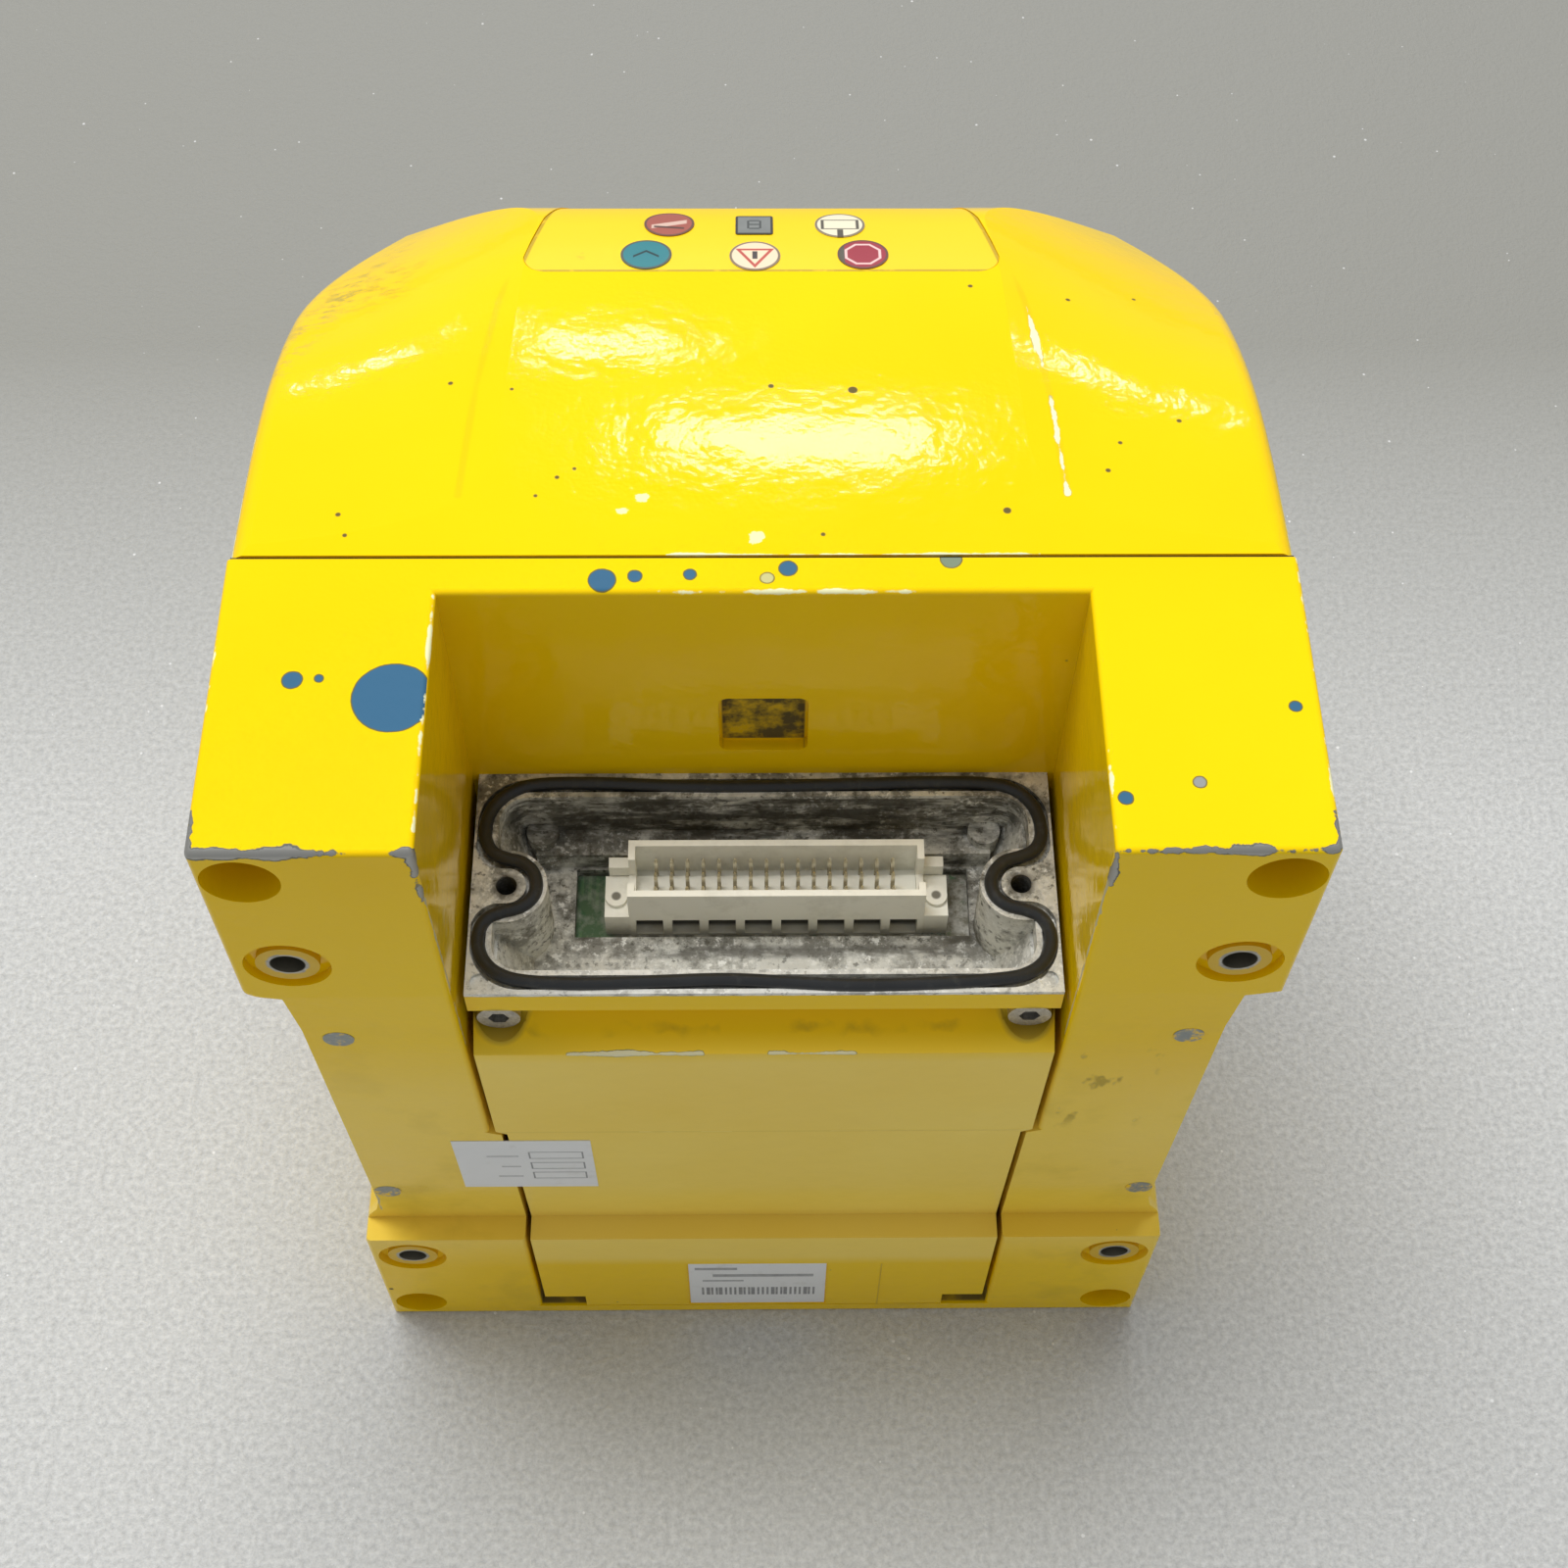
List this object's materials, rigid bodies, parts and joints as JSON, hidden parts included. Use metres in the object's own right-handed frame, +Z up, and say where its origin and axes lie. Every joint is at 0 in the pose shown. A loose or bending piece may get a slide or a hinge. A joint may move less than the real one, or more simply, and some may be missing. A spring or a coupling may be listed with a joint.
{
  "type": "safety laser scanner",
  "caption": "Safety laser scanner: cast housing with a rear plug recess and overhanging head, dark wrap-round window, and a motor-driven mirror inside.",
  "frame": {"origin": "bottom centre of the bounding box, on the surface the foot rests on", "axes": "+Y forward through the window, -Y is the rear mounting side, +Z up, +X to the right seen from behind"},
  "size_m": [0.155, 0.16, 0.185],
  "materials": {
    "paint": "semi-gloss yellow powder coat, chipped",
    "seal": "matt",
    "cord": "satin",
    "film": "satin printed film",
    "lens_print": "printed fields",
    "digit_glass": "grey display window",
    "board": "green solder mask",
    "socket_plastic": "matt cream",
    "contact_gold": "plated",
    "steel": "dull",
    "insert_steel": "dull, partly painted",
    "plug_metal": "dull",
    "label": "pale sticker",
    "window_plastic": "dark, polished",
    "machined_aluminium": "machined",
    "core_iron": "laminated",
    "copper": "enamelled wire",
    "magnet": "sintered",
    "mirror_coat": "front-silvered",
    "black_plastic": "matt",
    "lens_glass": "polished",
    "lamp_plastic": "clear"
  },
  "bodies": {
    "scanner": {"rear_housing": "paint", "head_cover": "paint", "io_module": "paint", "head_seal": "seal", "window_seal": "seal", "deck_gasket": "cord", "indicator_label": "film", "indicator_lenses": "lens_print", "digit_window": "digit_glass", "io_board": "board", "main_board": "board", "detector_board": "board", "display_board": "board", "connector_shroud": "socket_plastic", "board_link": "socket_plastic", "connector_pins": "contact_gold", "connector_rivets": "steel", "module_screws_upper": "steel", "module_screws_lower": "steel", "head_screws": "steel", "board_screws": "steel", "motor_screws": "steel", "board_standoffs": "steel", "mount_inserts": "insert_steel", "casting_plugs": "plug_metal", "type_label": "label", "inspection_label": "label", "front_window": "window_plastic", "motor_base": "machined_aluminium", "stator_core": "core_iron", "motor_coils": "copper", "rotor_bearings": "steel", "encoder_sensor": "black_plastic", "lens_carrier": "black_plastic", "receiver_lens": "lens_glass", "laser_tube": "machined_aluminium", "detector": "steel", "display_lamps": "lamp_plastic"},
    "mirror_rotor": {"rotor_shaft": "steel", "rotor_bell": "machined_aluminium", "rotor_magnet": "magnet", "encoder_disc": "core_iron", "mirror_hub": "machined_aluminium", "mirror_glass": "mirror_coat"}
  },
  "joints": [
    {"name": "mirror_spin", "type": "hinge", "parent": "scanner", "child": "mirror_rotor", "pos_m": [0, 0.013, 0.063], "axis": [0, 0, 1], "continuous": true}
  ]
}
